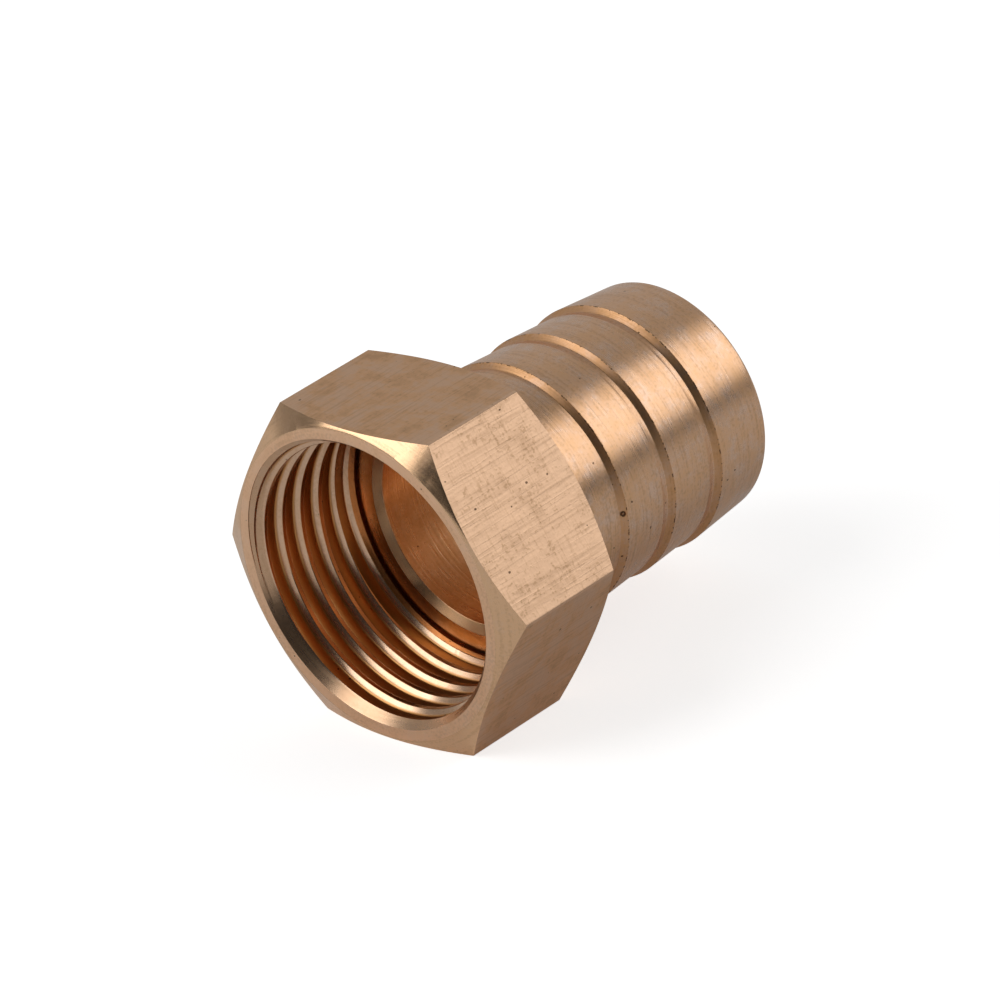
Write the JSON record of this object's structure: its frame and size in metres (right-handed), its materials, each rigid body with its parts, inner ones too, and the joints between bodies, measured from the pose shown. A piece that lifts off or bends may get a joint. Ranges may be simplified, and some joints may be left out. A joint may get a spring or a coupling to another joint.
{
  "type": "brass hose nipple",
  "caption": "Hexagon head with a right-hand female thread and a flat washer seat, turned in one piece with a barbed tail for a hose.",
  "frame": {"origin": "centre of the mouth face, on the part's axis", "axes": "+X runs along the axis from the mouth to the tail's end; +Z is the normal of the hexagon's upper flat, and the part lies on the opposite flat"},
  "size_m": [0.032, 0.0278, 0.024],
  "materials": {
    "brass": "turned and drawn, dull, with fine lines"
  },
  "bodies": {
    "root": {"hose_nipple": "brass"}
  },
  "joints": []
}
